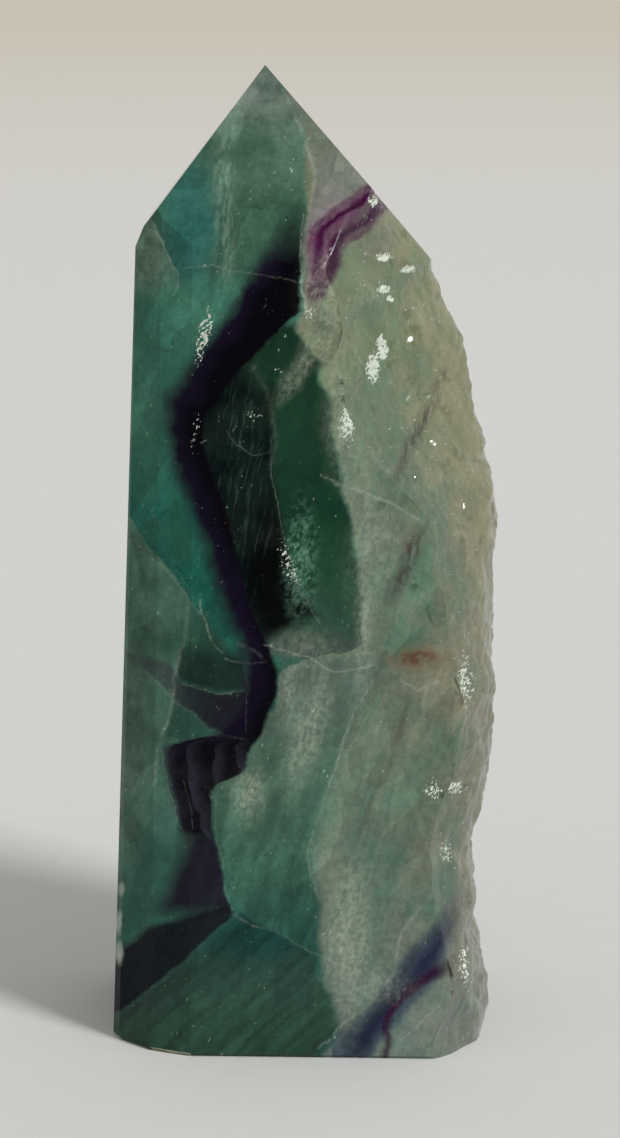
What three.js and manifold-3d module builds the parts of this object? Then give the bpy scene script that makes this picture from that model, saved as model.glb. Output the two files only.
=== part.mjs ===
// A fluorite obelisk: one crystal ground to a pointed tower. The front, the left side and the
// back are polished flats that lean in towards the tip, and the right side keeps the stone's
// natural broken skin. Millimetres, +Z up, front towards -Y, standing on z = 0.

import * as THREE from 'three';
import { mergeVertices } from 'three/addons/utils/BufferGeometryUtils.js';
import Module from 'manifold-3d';

const wasm = await Module();
wasm.setup();

// The whole stone
const TIP = new THREE.Vector3(-5, 0, 120);
const BLANK_SIDE = 70;

// The standing flats: the compass angle that each faces (0 is +X, 90 is +Y), how far it stands
// from the axis at the base, and how far it leans in.
const SIDE_LEAN = 2.2;
const SIDE_FLATS = [
  { name: 'front', faces: 268, reach: 17.6 },
  { name: 'front corner, first turn', faces: 247, reach: 21.35 },
  { name: 'front corner, middle', faces: 226, reach: 24.2 },
  { name: 'front corner, last turn', faces: 206, reach: 25.9 },
  { name: 'left', faces: 181, reach: 24.4 },
  { name: 'back corner', faces: 138, reach: 26.6 },
  { name: 'back', faces: 92, reach: 18 },
];

// The crown flats meet at the tip: the compass angle that each faces, and how steep it is.
const CROWN_FLATS = [
  { name: 'crown front', faces: 274, slope: 58 },
  { name: 'crown left', faces: 179, slope: 52.4 },
  { name: 'crown back left', faces: 128, slope: 55 },
  { name: 'crown back', faces: 84, slope: 57 },
  { name: 'crown right', faces: 4.8, slope: 49.4 },
];

// A narrow flat that takes the corner off the left shoulder
const SHOULDER = { faces: 178.5, slope: 66.5, at: new THREE.Vector3(-18.2, -10.7, 104.3) };

// The small chamfer ground round the foot
const FOOT_CHAMFER = 0.5;
const FOOT_CHAMFER_SLOPE = -45;

// The natural skin is three broken faces that run into each other. Each row is a height and
// how far that face stands from the axis there.
const SKIN_FACES = [
  {
    faces: -45,
    reach: [
      [0, 24.4], [16, 24.7], [26, 22.9], [35, 23.5], [45, 24.6], [57, 23.6], [67, 20.8],
      [75.5, 16.2], [81.5, 13.6], [92, 12.3], [101.5, 10.9], [107, 11.6], [120, 16],
    ],
  },
  {
    faces: 0,
    reach: [
      [0, 22.4], [3, 22.8], [7, 22.4], [11, 21.9], [13.5, 20.7], [15.5, 20.7], [17.7, 21.1],
      [21, 20.8], [23.5, 20.3], [26.5, 21], [30, 21.8], [33, 22.3], [37, 22.8], [44.5, 23.5],
      [53, 23.4], [60, 23], [62, 23.3], [65.5, 23.4], [70.3, 22.9], [72, 21.5], [74, 22], [77, 21.1],
      [79, 20.6], [81.5, 21.3], [83.5, 21.3], [87, 19.5], [89.3, 19.1], [91.5, 17.2], [93, 17],
      [94.5, 16.1], [96.3, 15.8], [98.5, 14], [101.5, 11.5], [105, 8.6], [108, 8.4], [120, 12],
    ],
  },
  {
    faces: 47,
    reach: [
      [0, 25.4], [20, 24.2], [38, 25.2], [58, 24], [72, 20.6], [84, 17.4], [95, 14.2], [104, 10.8],
      [109, 10.6], [120, 16],
    ],
  },
];
const SKIN_BLEND = 12; // higher keeps the arrises between the broken faces sharper
const SKIN_SECTOR = 104; // degrees to each side of +X that the skin spans
const SKIN_COLUMNS = 104;
const SKIN_ROWS = 92;
const SKIN_BOTTOM = -4;
const SKIN_TOP = 128;
const CLEAR_OF_STONE = 60; // where the skin's sheet goes round the polished sides

// The lumps on the skin: size across and height of each layer
const LUMPS = [
  { across: 8.5, height: 0.9 },
  { across: 3.6, height: 0.55 },
];

// The unit vector of a flat that faces a compass angle and is turned up by `rise` degrees.
function outward(faces, rise) {
  const turn = THREE.MathUtils.degToRad(faces);
  const up = THREE.MathUtils.degToRad(rise);
  return new THREE.Vector3(
    Math.cos(turn) * Math.cos(up),
    Math.sin(turn) * Math.cos(up),
    Math.sin(up),
  );
}

// A block that fills everything beyond one flat.
function beyondFlat(normal, point) {
  const side = BLANK_SIDE * 3;
  const block = new THREE.BoxGeometry(side, side, side);
  block.translate(0, 0, side / 2);
  const turn = new THREE.Quaternion().setFromUnitVectors(new THREE.Vector3(0, 0, 1), normal);
  block.applyQuaternion(turn);
  block.translate(point.x, point.y, point.z);
  return block;
}

// Reads a list of [height, value] pairs at any height, along straight lines.
function along(pairs, height) {
  if (height <= pairs[0][0]) return pairs[0][1];
  for (let i = 1; i < pairs.length; i += 1) {
    const [h0, v0] = pairs[i - 1];
    const [h1, v1] = pairs[i];
    if (height <= h1) return THREE.MathUtils.mapLinear(height, h0, h1, v0, v1);
  }
  return pairs[pairs.length - 1][1];
}

// A fixed number from 0 to 1 for each corner of a unit grid.
function gridValue(x, y, z) {
  const wave = Math.sin(x * 127.1 + y * 311.7 + z * 74.7) * 43758.5453;
  return wave - Math.floor(wave);
}

// A smooth random height from -1 to 1 anywhere in space.
function lumpiness(point) {
  const cell = point.clone().floor();
  const part = point.clone().sub(cell);
  const ease = (t) => t * t * (3 - 2 * t);
  const weight = [ease(part.x), ease(part.y), ease(part.z)];
  let sum = 0;
  for (let corner = 0; corner < 8; corner += 1) {
    const step = [corner & 1, (corner >> 1) & 1, corner >> 2];
    const share = step.reduce((s, on, k) => s * (on ? weight[k] : 1 - weight[k]), 1);
    sum += share * gridValue(cell.x + step[0], cell.y + step[1], cell.z + step[2]);
  }
  return sum * 2 - 1;
}

// How far the natural skin stands from the axis at one angle and height.
function skinReach(angle, height) {
  let sum = 0;
  for (const face of SKIN_FACES) {
    const turned = Math.cos(angle - THREE.MathUtils.degToRad(face.faces));
    sum += (Math.max(turned, 0) / along(face.reach, height)) ** SKIN_BLEND;
  }
  const smooth = sum ** (-1 / SKIN_BLEND);
  const place = new THREE.Vector3(Math.cos(angle) * smooth, Math.sin(angle) * smooth, height);
  const lumps = LUMPS.reduce(
    (rise, layer) => rise + layer.height * lumpiness(place.clone().divideScalar(layer.across)),
    0,
  );
  return smooth + lumps;
}

// The stone's natural outside: a drum round the axis whose wall is drawn in to the skin on the
// right and stands well clear of the polished flats everywhere else.
function naturalSkin() {
  const tall = SKIN_TOP - SKIN_BOTTOM;
  const drum = new THREE.CylinderGeometry(1, 1, tall, SKIN_COLUMNS, SKIN_ROWS);
  drum.rotateX(Math.PI / 2);
  drum.translate(0, 0, SKIN_BOTTOM + tall / 2);
  const sector = THREE.MathUtils.degToRad(SKIN_SECTOR);
  const points = drum.attributes.position;
  for (let i = 0; i < points.count; i += 1) {
    const x = points.getX(i);
    const y = points.getY(i);
    const onAxis = Math.hypot(x, y) < 0.5;
    if (!onAxis) {
      const angle = Math.atan2(y, x);
      const inSector = Math.abs(angle) < sector;
      const reach = inSector ? skinReach(angle, points.getZ(i)) : CLEAR_OF_STONE;
      points.setXY(i, Math.cos(angle) * reach, Math.sin(angle) * reach);
    }
  }
  return drum;
}

// Geometry to a closed solid with shared corners, and back.
function toSolid(geometry) {
  const bare = geometry.clone();
  bare.deleteAttribute('normal');
  bare.deleteAttribute('uv');
  const merged = mergeVertices(bare, 1e-4);
  return new wasm.Manifold(new wasm.Mesh({
    numProp: 3,
    vertProperties: new Float32Array(merged.attributes.position.array),
    triVerts: new Uint32Array(merged.index.array),
  }));
}

function toGeometry(solid) {
  const mesh = solid.getMesh();
  const geometry = new THREE.BufferGeometry();
  geometry.setAttribute('position', new THREE.BufferAttribute(mesh.vertProperties, 3));
  geometry.setIndex(new THREE.BufferAttribute(mesh.triVerts, 1));
  geometry.computeVertexNormals();
  return geometry;
}

function stoneGeometry() {
  const blank = new THREE.BoxGeometry(BLANK_SIDE, BLANK_SIDE, TIP.z + 1);
  blank.translate(0, 0, (TIP.z + 1) / 2);
  let stone = toSolid(blank);

  const grind = (normal, point) => {
    stone = stone.subtract(toSolid(beyondFlat(normal, point)));
  };
  for (const flat of SIDE_FLATS) {
    grind(outward(flat.faces, SIDE_LEAN), outward(flat.faces, 0).multiplyScalar(flat.reach));
    const foot = outward(flat.faces, 0).multiplyScalar(flat.reach - FOOT_CHAMFER);
    grind(outward(flat.faces, FOOT_CHAMFER_SLOPE), foot);
  }
  for (const flat of CROWN_FLATS) {
    grind(outward(flat.faces, 90 - flat.slope), TIP);
  }
  grind(outward(SHOULDER.faces, 90 - SHOULDER.slope), SHOULDER.at);

  return toGeometry(stone.intersect(toSolid(naturalSkin())));
}

const fluorite = new THREE.MeshStandardMaterial({
  color: 0x5b8573,
  roughness: 0.12,
  metalness: 0,
});

const stone = new THREE.Mesh(stoneGeometry(), fluorite);
stone.name = 'fluorite_obelisk';

// The stone stands with the middle of its outline over the origin.
stone.geometry.computeBoundingBox();
const middle = stone.geometry.boundingBox.getCenter(new THREE.Vector3());
stone.position.set(-middle.x, -middle.y, 0);

const obelisk = new THREE.Group();
obelisk.add(stone);

export default obelisk;
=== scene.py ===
import math
import random

import bmesh
import bpy
from mathutils import Matrix, Vector, bvhtree, kdtree, noise


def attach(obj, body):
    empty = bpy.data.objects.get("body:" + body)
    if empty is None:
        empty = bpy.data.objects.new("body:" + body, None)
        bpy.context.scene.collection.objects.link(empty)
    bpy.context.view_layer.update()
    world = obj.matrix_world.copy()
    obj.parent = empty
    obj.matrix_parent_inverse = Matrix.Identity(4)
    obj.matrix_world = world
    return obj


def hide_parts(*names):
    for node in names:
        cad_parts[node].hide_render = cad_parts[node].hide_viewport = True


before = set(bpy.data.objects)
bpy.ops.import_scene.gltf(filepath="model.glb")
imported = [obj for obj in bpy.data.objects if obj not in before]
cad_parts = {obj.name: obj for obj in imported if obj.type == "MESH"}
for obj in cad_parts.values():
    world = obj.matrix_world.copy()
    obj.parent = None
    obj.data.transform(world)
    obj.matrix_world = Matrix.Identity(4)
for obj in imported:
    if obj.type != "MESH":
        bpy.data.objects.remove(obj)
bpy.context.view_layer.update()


# The stone. One crystal of fluorite, sawn and ground to a pointed tower: its front, left and back
# are flats polished on a lap, which meet in fine rubbed arrises. The right side was left as it
# broke in the ground, so it is lumpy and glassy, and the flats run out into it in shallow hollows.

MM = 0.001
GROUND_FLAT_AREA = 3.5 * MM * MM  # a face larger than this was ground flat
BROAD_FLAT_AREA = 60 * MM * MM  # the front flats that the skin runs into are larger than this
SAME_PLANE = 0.002 * MM
SAME_WAY = 0.99  # how nearly two normals agree where their faces lie in one plane
MERGE_DISTANCE = 0.001 * MM
FLAT_ANGLE = math.radians(0.05)
ARRIS_ANGLE = math.radians(6)
ARRIS_WIDTH = 0.28 * MM
SKIN_CUTS = 3
SKIN_SMOOTHING = 3
SKIN_FADE = 1.3 * MM  # how far from a ground edge the skin's lumps reach their full height
LUMP = {"across": 3.4 * MM, "height": 0.34 * MM}
SCALLOP = {"across": 2.2 * MM, "height": 0.42 * MM, "flat_past": 0.6}
GRAIN = {"across": 0.75 * MM, "height": 0.07 * MM, "shift": Vector((7, 3, 1))}
HOLLOW_STEP = 2.0 * MM  # the grid that the hollows in the front are modelled on
HOLLOW_DEPTH = 0.42 * MM
HOLLOW_RISE = (1.0, 5.0)  # a hollow starts this far before the skin's edge, and grows over this
HOLLOW_BOWL = (1.3, 0.45)  # how fast a hollow deepens as it grows, and how late it begins
HOLLOW_LUMPS = (1.3, 4)  # how strongly the skin's lumps show in a hollow, and how soon
FRONT_FACING = -0.4  # a flat whose normal has a lower y is at the front
SIDE_FACING = -0.2  # a flat whose normal has a higher y is at the side or back
FIRST_HOLLOW = 2.0  # the lowest x of a hollow, in millimetres
HEIGHT_CUTS = (49.0, 91.0)  # where the front's flats are parted, to give each part its own finish
TIP = 120
# The stone's finishes, in the order of its materials. What stays POLISHED is the front's middle
POLISHED, SKIN, SIDES, FRONT_FOOT, FRONT_CROWN = range(5)
# Where the front flats run out into the skin, as (x, z) in millimetres
SKIN_EDGE = [
    (16.9, 0), (18, 16), (15.5, 26), (16.7, 35), (18.4, 45), (17.7, 57), (14, 67), (8, 75),
    (4.4, 81), (3.2, 92), (4.4, 101), (9, 106), (14, 112), (20, 120),
]


def between(points, along):
    """Reads x off the straight lines through (x, z) points, at the height `along`."""
    for (x0, z0), (x1, z1) in zip(points, points[1:]):
        if along <= z1:
            return x0 + (x1 - x0) * (along - z0) / (z1 - z0)
    return points[-1][0]


def skin_height(place):
    """How far the natural skin stands out or in at a place, in metres."""
    lump = noise.noise(place / LUMP["across"]) * LUMP["height"]
    distances, _ = noise.voronoi(place / SCALLOP["across"])
    ridge = min(distances[1] - distances[0], SCALLOP["flat_past"]) - SCALLOP["flat_past"] / 2
    grain = noise.noise(place / GRAIN["across"] + GRAIN["shift"]) * GRAIN["height"]
    return lump + ridge * SCALLOP["height"] + grain


def hollow_depth(place):
    """How deep the front flat is hollowed at a place, in metres."""
    past_edge = place.x / MM - between(SKIN_EDGE, place.z / MM)
    share = min(max((past_edge + HOLLOW_RISE[0]) / HOLLOW_RISE[1], 0.0), 1.0)
    bowl = HOLLOW_DEPTH * (HOLLOW_BOWL[0] * share - HOLLOW_BOWL[1])
    lumps = HOLLOW_LUMPS[0] * skin_height(place) * min(share * HOLLOW_LUMPS[1], 1)
    return max(bowl - lumps, 0.0)


def ground_faces(shape):
    """The faces that lie in the planes of the ground flats."""
    planes = [
        (face.normal.copy(), face.verts[0].co.dot(face.normal))
        for face in shape.faces if face.calc_area() > GROUND_FLAT_AREA
    ]
    return {
        face for face in shape.faces
        if any(
            face.normal.dot(normal) > SAME_WAY
            and all(abs(vert.co.dot(normal) - reach) < SAME_PLANE for vert in face.verts)
            for normal, reach in planes)
    }


def faces_in(result):
    """The faces among what an operator made."""
    return [item for item in result["geom"] if isinstance(item, bmesh.types.BMFace)]


def cut_grid(shape, faces):
    """Cuts flat faces into a fine grid, to the right of the first hollow."""
    first = FIRST_HOLLOW * MM
    reach = max(vert.co.x for face in faces for vert in face.verts)
    height = max(vert.co.z for face in faces for vert in face.verts)
    columns = int((reach - first) / HOLLOW_STEP) + 1
    rows = int(height / HOLLOW_STEP)
    cuts = [(Vector((first + i * HOLLOW_STEP, 0, 0)), Vector((1, 0, 0))) for i in range(columns)]
    cuts += [(Vector((0, 0, i * HOLLOW_STEP)), Vector((0, 0, 1))) for i in range(1, rows + 1)]
    for place, across in cuts:
        crossed = [
            face for face in faces
            if face.verts[0].co.x > first or across.z == 0 or len(face.verts) > 4]
        geometry = set(crossed)
        for face in crossed:
            geometry.update(face.edges, face.verts)
        cut = bmesh.ops.bisect_plane(shape, geom=list(geometry), plane_co=place, plane_no=across)
        faces = list({face for face in faces if face.is_valid}.union(faces_in(cut)))
    grid = [face for face in faces if min(vert.co.x for vert in face.verts) > first - SAME_PLANE]
    edges = {edge for face in grid for edge in face.edges}
    finer = bmesh.ops.subdivide_edges(shape, edges=list(edges), cuts=2, use_grid_fill=True)
    grid = {face for face in grid if face.is_valid}.union(faces_in(finer))
    grid = {face for face in grid if min(v.co.x for v in face.verts) > first - SAME_PLANE}
    uneven = [face for face in grid if len(face.verts) > 4]
    parted = bmesh.ops.triangulate(shape, faces=uneven)
    return {face for face in grid if face.is_valid} | set(parted["faces"])


def stone_mesh():
    """The CAD stone with rubbed arrises, hollows in the front and the finer lumps of its skin."""
    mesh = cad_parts["fluorite_obelisk"].data.copy()
    mesh.materials.clear()
    shape = bmesh.new()
    shape.from_mesh(mesh)
    bmesh.ops.remove_doubles(shape, verts=shape.verts, dist=MERGE_DISTANCE)
    bmesh.ops.dissolve_limit(
        shape, angle_limit=FLAT_ANGLE, verts=shape.verts, edges=shape.edges)

    flats = ground_faces(shape)
    arrises = [
        edge for edge in shape.edges
        if all(face in flats for face in edge.link_faces)
        and edge.calc_face_angle(0) > ARRIS_ANGLE
    ]
    for face in shape.faces:
        if face not in flats:
            face.material_index = SKIN
            face.smooth = True
    bmesh.ops.bevel(
        shape, geom=arrises, offset=ARRIS_WIDTH, offset_type="OFFSET", segments=2, profile=0.5,
        affect="EDGES", material=POLISHED, clamp_overlap=True)

    skin_edges = {
        edge for face in shape.faces if face.material_index == SKIN for edge in face.edges}
    bmesh.ops.subdivide_edges(
        shape, edges=list(skin_edges), cuts=SKIN_CUTS, use_grid_fill=True)
    free = [
        vert for vert in shape.verts
        if all(face.material_index == SKIN for face in vert.link_faces)
    ]
    for _ in range(SKIN_SMOOTHING):
        bmesh.ops.smooth_vert(
            shape, verts=free, factor=0.5, use_axis_x=True, use_axis_y=True, use_axis_z=True)
    shape.normal_update()
    inner = set(free)
    held = {vert for edge in skin_edges if edge.is_valid for vert in edge.verts} - inner
    rim = kdtree.KDTree(len(held))
    for i, vert in enumerate(held):
        rim.insert(vert.co, i)
    rim.balance()
    moves = [
        (vert, vert.normal * skin_height(vert.co) * min(rim.find(vert.co)[2] / SKIN_FADE, 1.0))
        for vert in free
    ]
    for vert, move in moves:
        vert.co += move
        vert.co.z = max(vert.co.z, 0.0)

    front = [
        face for face in shape.faces
        if face.material_index == POLISHED
        and face.normal.y < FRONT_FACING
        and face.calc_area() > BROAD_FLAT_AREA
    ]
    for flat in front:
        inward = -flat.normal.copy()
        grid = cut_grid(shape, [flat])
        inner = {v for face in grid for v in face.verts if all(f in grid for f in v.link_faces)}
        for vert in inner:
            vert.co += inward * hollow_depth(vert.co)
        for face in grid:
            face.smooth = True
    for face in shape.faces:
        if face.material_index == POLISHED and face.normal.y > SIDE_FACING:
            face.material_index = SIDES
    for height in HEIGHT_CUTS:
        polished = [face for face in shape.faces if face.material_index == POLISHED]
        geometry = {item for face in polished for item in (face, *face.edges, *face.verts)}
        bmesh.ops.bisect_plane(
            shape, geom=list(geometry), plane_co=(0, 0, height * MM), plane_no=(0, 0, 1))
    for face in shape.faces:
        height = face.calc_center_median().z / MM
        if face.material_index == POLISHED and height < HEIGHT_CUTS[0]:
            face.material_index = FRONT_FOOT
        elif face.material_index == POLISHED and height > HEIGHT_CUTS[1]:
            face.material_index = FRONT_CROWN
    shape.to_mesh(mesh)
    shape.free()
    return mesh


def added(name, data):
    """A new object in the scene."""
    item = bpy.data.objects.new(name, data)
    bpy.context.scene.collection.objects.link(item)
    return item


stone = added("stone", stone_mesh())


# The colour of the stone. Fluorite grows in zones: the crystal here is sea green, with sheets of
# near-black purple folded through it, milky bands towards the skin, and cracks that catch light.
# The zones are planes through the crystal, so the pattern is laid out on the front face in
# millimetres, X to the right and Z up, and carried back through the stone.

FRONT = {"place": -17.84, "lean": 0.0384}  # y of the front flat at its foot, and its lean
SINK = {"at_foot": 0.37, "less": 0.0026}  # how fast the zones sink on their way back
SPREAD = 390.0
SIDESTEP = {"from": 16.0, "rate": 0.25}
ACROSS = (-30.0, 60.0)  # the lowest X that a zone's curve can hold, and the span, in millimetres
UP = (-5.0, 130.0)  # the same for Z
PAST_END = 0.1  # how near its lowest value a curve goes past the end of a line
LINE_END = 0.02  # how far past a line's last point its curve has left it
STRAY = (3.0, 10.0)  # how far below and above its heights a part of the stone shows zones


def rgb(red, green, blue):
    """A display colour, 0 to 255, as the linear colour that a shader takes."""
    def linear(value):
        value /= 255
        return value / 12.92 if value <= 0.04045 else ((value + 0.055) / 1.055) ** 2.4
    return (linear(red), linear(green), linear(blue), 1.0)


class Wire:
    """A shader socket. Arithmetic on it adds Math nodes."""

    def __init__(self, shader, socket):
        self.shader = shader
        self.socket = socket

    def math(self, operation, *values):
        return self.shader.node("ShaderNodeMath", {"operation": operation}, values)

    def __add__(self, other):
        return self.math("ADD", self, other)

    def __radd__(self, other):
        return self.math("ADD", other, self)

    def __sub__(self, other):
        return self.math("SUBTRACT", self, other)

    def __rsub__(self, other):
        return self.math("SUBTRACT", other, self)

    def __mul__(self, other):
        return self.math("MULTIPLY", self, other)

    def __rmul__(self, other):
        return self.math("MULTIPLY", other, self)

    def __truediv__(self, other):
        return self.math("DIVIDE", self, other)

    def __abs__(self):
        return self.math("ABSOLUTE", self)

    def lowest(self, other):
        return self.math("MINIMUM", self, other)

    def highest(self, other):
        return self.math("MAXIMUM", self, other)

    def ramp(self, start, end, low=0.0, high=1.0):
        """Goes smoothly from low, at start, to high, at end."""
        settings = {"interpolation_type": "SMOOTHSTEP"}
        return self.shader.node(
            "ShaderNodeMapRange", settings, {0: self, 1: start, 2: end, 3: low, 4: high})

    def within(self, low, high, soft_low, soft_high):
        """1 between low and high, fading out over the soft distances."""
        rise = (self - low).ramp(-soft_low, soft_low)
        fall = (self - high).ramp(-soft_high, soft_high, 1.0, 0.0)
        return rise * fall


class Shader:
    """A material's nodes."""

    def __init__(self, name):
        self.material = bpy.data.materials.new(name)
        self.material.use_nodes = True
        self.tree = self.material.node_tree
        self.tree.nodes.clear()

    def node(self, kind, settings=None, values=(), output=0):
        """Adds a node: its settings first, then the values or wires of its sockets."""
        node = self.tree.nodes.new(kind)
        for name, value in (settings or {}).items():
            if name == "curve":
                self.bend_curve(node, value)
            elif name == "stops":
                self.set_stops(node.color_ramp.elements, value)
            else:
                setattr(node, name, value)
        pairs = values.items() if isinstance(values, dict) else enumerate(values)
        for key, value in pairs:
            if isinstance(value, Wire):
                self.tree.links.new(value.socket, node.inputs[key])
            else:
                node.inputs[key].default_value = value
        return Wire(self, node.outputs[output] if node.outputs else None)

    def bend_curve(self, node, points):
        """Sets a Float Curve to straight lines between points."""
        curve = node.mapping.curves[0]
        while len(curve.points) < len(points):
            curve.points.new(0, 0)
        for slot, (along, value) in zip(curve.points, points):
            slot.location = (along, value)
            slot.handle_type = "VECTOR"
        node.mapping.update()

    def set_stops(self, elements, stops):
        """Sets a Color Ramp to (place, colour) stops, which are in order."""
        for place, colour in stops[1:-1]:
            elements.new(place).color = colour
        for element, (place, colour) in ((elements[0], stops[0]), (elements[-1], stops[-1])):
            element.position = place
            element.color = colour

    def over(self, base, colour, mask):
        """A colour laid over another where the mask is 1."""
        settings = {"data_type": "RGBA"}
        return self.node("ShaderNodeMix", settings, {0: mask, 6: base, 7: colour}, 2)

    def blend(self, base, value, mask):
        """A number laid over another where the mask is 1."""
        return self.node("ShaderNodeMix", {"data_type": "FLOAT"}, {0: mask, 2: base, 3: value})

    def vector(self, operation, *values, output=0):
        return self.node("ShaderNodeVectorMath", {"operation": operation}, values, output)

    def scaled(self, colour, factor):
        """A colour made darker or lighter."""
        return self.node(
            "ShaderNodeVectorMath", {"operation": "SCALE"}, {0: colour, "Scale": factor})

    def object_place(self):
        """Where a point lies, in millimetres."""
        where = self.node("ShaderNodeTexCoord", {}, (), 3)
        return self.vector("MULTIPLY", where, (1 / MM,) * 3)

    def noise(self, place, across, detail=2.0, rough=0.5, output=0):
        """Smooth random values from 0 to 1 whose lumps are about `across` millimetres wide."""
        values = {"Vector": place, "Scale": 1 / across, "Detail": detail, "Roughness": rough}
        return self.node("ShaderNodeTexNoise", {}, values, output)

    def parts(self, place):
        """The X, Y and Z of a place."""
        return (self.node("ShaderNodeSeparateXYZ", {}, (place,), i) for i in range(3))

    def principled(self, sockets):
        return self.node("ShaderNodeBsdfPrincipled", {}, sockets)

    def finished(self, surface, **others):
        """The material, with its surface and whatever else goes to the output."""
        self.node("ShaderNodeOutputMaterial", {}, {"Surface": surface, **others})
        return self.material


class Zones(Shader):
    """The shader of a part of the crystal: where a point lies in the growth zones."""

    def __init__(self, name, low, high):
        super().__init__(name)
        self.low = low - STRAY[0]
        self.high = high + STRAY[1]

    def lay_out(self):
        self.place = self.object_place()
        x, y, z = self.parts(self.place)
        self.behind = (y - (z * FRONT["lean"] + FRONT["place"])).highest(0.0)
        sidestep = (self.behind - SIDESTEP["from"]).highest(0.0) * SIDESTEP["rate"]
        x = x / (self.behind / SPREAD + 1.0) + sidestep
        z = z + self.behind * (SINK["at_foot"] - z * SINK["less"])
        flat = self.node("ShaderNodeCombineXYZ", {}, (x, z, self.behind * 0.4))
        coarse = self.noise(self.place, 5.0, 1.0, 0.5, 1)
        small = self.noise(self.place, 1.3, 2.0, 0.6, 1)
        bent = self.vector("MULTIPLY_ADD", coarse, (1.4, 1.4, 0.0), flat)
        bent = self.vector("MULTIPLY_ADD", small, (0.6, 0.6, 0.0), bent)
        self.bent = self.vector("SUBTRACT", bent, (1.0, 1.0, 0.0))
        self.x, self.z, self.depth = self.parts(self.bent)
        self.x_share = (self.x - ACROSS[0]) / ACROSS[1]
        self.z_share = (self.z - UP[0]) / UP[1]
        self.mottle = self.noise(self.place, 6.0, 3.0, 0.6)
        self.hairs = self.streaks(0.2, 0.5, 4.5, 3.0, 0.65)
        self.curdle = self.noise(self.place, 2.2, 3.0, 0.6)

    def shows(self, low, high):
        """Whether a zone between two heights can show on this part of the stone."""
        return low < self.high and high > self.low

    def by_height(self, stops):
        """A colour that changes with height, through stops of (height, red, green, blue)."""
        stops = [((height - UP[0]) / UP[1], rgb(*colour)) for height, *colour in stops]
        return self.node("ShaderNodeValToRGB", {"stops": stops}, (self.z_share,))

    def past(self, points, before, after, high=1.0):
        """Rises from 0 to `high` on the right of an edge through (height, X) points."""
        off = self.x_share - self.bend(self.z_share, UP, points, ACROSS)
        return off.ramp(-before / ACROSS[1], after / ACROSS[1], 0.0, high)

    def above(self, points, before, after):
        """Rises from 0 to 1 above an edge through (X, height) points."""
        off = self.z_share - self.bend(self.x_share, ACROSS, points, UP)
        return off.ramp(-before / UP[1], after / UP[1])

    def vein(self, points, half, bright, soft):
        """An upright line through (height, X) points, `half` its width to each side."""
        path = self.bend(self.z_share, UP, self.ended(points, ACROSS), ACROSS)
        off = abs(self.x_share - path)
        return off.ramp((half + soft) / ACROSS[1], (half - soft) / ACROSS[1], 0.0, bright)

    def seam(self, points, half, bright, soft):
        """The same for a line that runs more sideways than up, through (X, height) points."""
        path = self.bend(self.x_share, ACROSS, self.ended(points, UP), UP)
        off = abs(self.z_share - path)
        return off.ramp((half + soft) / UP[1], (half - soft) / UP[1], 0.0, bright)

    def ended(self, points, reach):
        """Takes a line away to the lowest value that its curve can hold, past its two ends."""
        points = sorted(points)
        away = reach[0] + PAST_END
        start, end = points[0][0] - LINE_END, points[-1][0] + LINE_END
        return [(start, away), *points, (end, away)]

    def bend(self, share, reach_along, points, reach):
        """Reads a value off straight lines between (along, value) points, as shares of a reach."""
        points = sorted(
            ((along - reach_along[0]) / reach_along[1], (value - reach[0]) / reach[1])
            for along, value in points)
        return self.node("ShaderNodeFloatCurve", {"curve": points}, {1: share})

    def patch(self, x, z, across, tall, high=1.0, soft=0.5, lean=0.0):
        """A soft round patch, which leans to the right at the top by an angle in degrees."""
        off = self.node("ShaderNodeMapping", {"vector_type": "TEXTURE"}, {
            "Vector": self.bent, "Location": (x, z, 0), "Rotation": (0, 0, -math.radians(lean)),
            "Scale": (across, tall, 1e6)})
        return self.vector("LENGTH", off, output=1).ramp(1 - soft, 1 + soft, high, 0.0)

    def veins(self, lines):
        """Upright lines, each of (height, X) points, a half width, brightness and softness."""
        return [self.vein(*line) for line in lines if self.shows(min(line[0])[0], max(line[0])[0])]

    def seams(self, lines):
        """Level lines, each of (X, height) points, a half width, brightness and softness."""
        return [
            self.seam(*line) for line in lines
            if self.shows(min(z for _, z in line[0]), max(z for _, z in line[0]))]

    def patches(self, rounds):
        """Soft patches: X, height, half width, half height, brightness, softness and lean."""
        return [
            self.patch(*item) for item in rounds
            if self.shows(item[1] - item[3], item[1] + item[3])]

    def top(self, masks):
        """The highest of several masks, of which some may not show here."""
        highest = None
        for mask in masks:
            highest = mask if highest is None else highest.highest(mask)
        return highest

    def slope(self, rise, height=0.0):
        """How far a point is to the right of a line that leans `rise` across per millimetre up."""
        return self.x - (self.z - height) * rise

    def leaning(self, slope, across, along):
        """Coordinates that lean by `slope` sideways for each millimetre up, and are stretched."""
        return self.node("ShaderNodeCombineXYZ", {}, (
            self.slope(slope) / across, self.z / along, self.depth / across))

    def streaks(self, slope, across, along, detail=3.0, rough=0.6):
        """Random streaks, about `across` wide and `along` tall in millimetres."""
        return self.noise(self.leaning(slope, across, along), 1.0, detail, rough)

    def planes(self, slope, across, along):
        """Shards between cleavage planes, each with a random value, which lean like the streaks."""
        where = self.leaning(slope, across, along)
        return self.node("ShaderNodeTexVoronoi", {}, {"Vector": where, "Scale": 1.0}, 1)


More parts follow.
